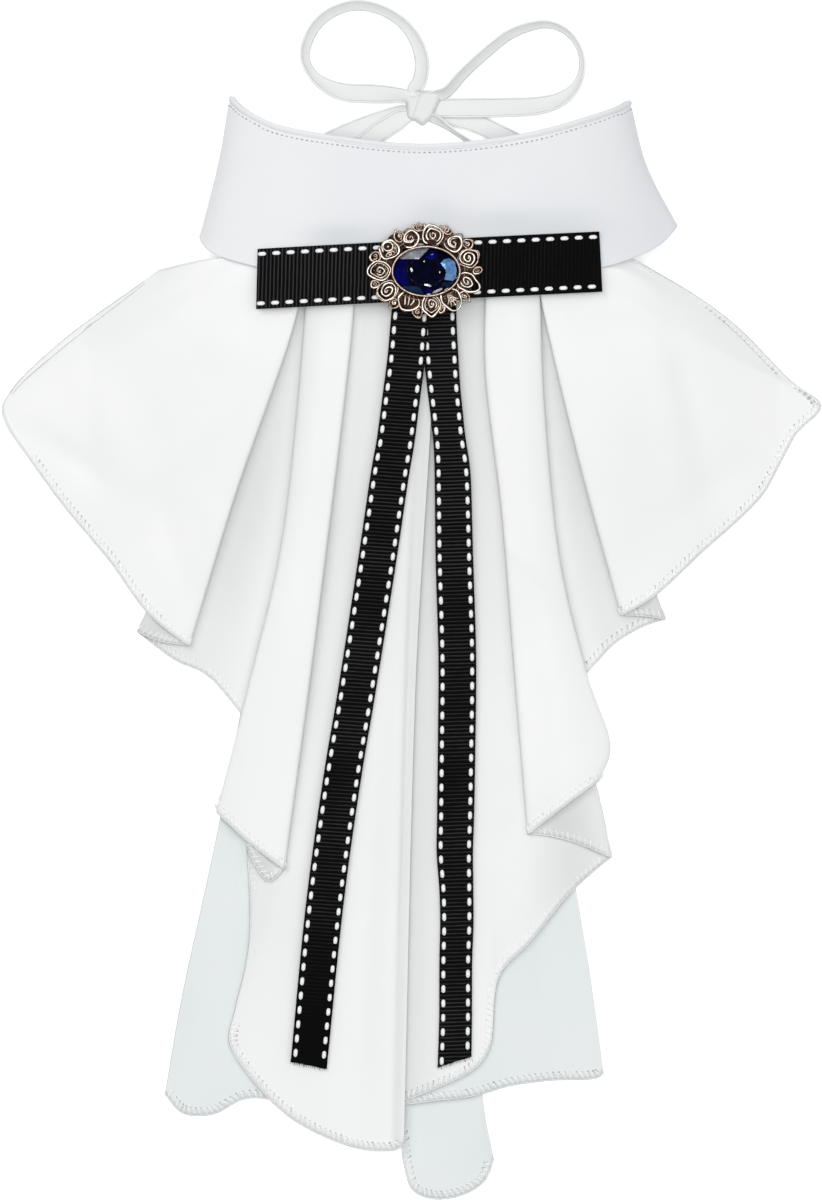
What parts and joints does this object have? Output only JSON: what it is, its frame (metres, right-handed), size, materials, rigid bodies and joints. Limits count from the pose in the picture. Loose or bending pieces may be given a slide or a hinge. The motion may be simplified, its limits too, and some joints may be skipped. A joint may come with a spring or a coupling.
{
  "type": "jabot",
  "caption": "Jabot: white stand collar with a cascading frill, black grosgrain bar and tails, oval filigree brooch with a dark blue stone, white back ties in a bow",
  "frame": {"origin": "middle of the overall footprint, on the surface it lies on", "axes": "+X to the wearer's left as seen from the front (the picture's right), +Y along the length towards the collar and the bow, +Z out of the front face, away from the surface it lies on"},
  "size_m": [0.327, 0.479, 0.0462],
  "materials": {
    "white_cloth": "matte woven polyester, white",
    "white_tie": "matte woven tape, white",
    "black_grosgrain": "ribbed black ribbon with white saddle stitches",
    "antique_metal": "antique rose gold, dark in the recesses",
    "blue_stone": "faceted, foiled behind, so not see-through",
    "pin_steel": "plain steel"
  },
  "bodies": {
    "root": {"neck_band": "white_cloth", "frill_left": "white_cloth", "frill_right": "white_cloth", "underlay_left": "white_cloth", "underlay_right": "white_cloth", "ribbon_bar": "black_grosgrain", "ribbon_tail_left": "black_grosgrain", "ribbon_tail_right": "black_grosgrain", "brooch_frame": "antique_metal", "brooch_stone": "blue_stone", "brooch_pin": "pin_steel", "tie_left_run": "white_tie", "tie_left_loop": "white_tie", "tie_left_end": "white_tie", "tie_right_run": "white_tie", "tie_right_loop": "white_tie", "tie_right_end": "white_tie", "tie_knot": "white_tie"}
  },
  "joints": []
}
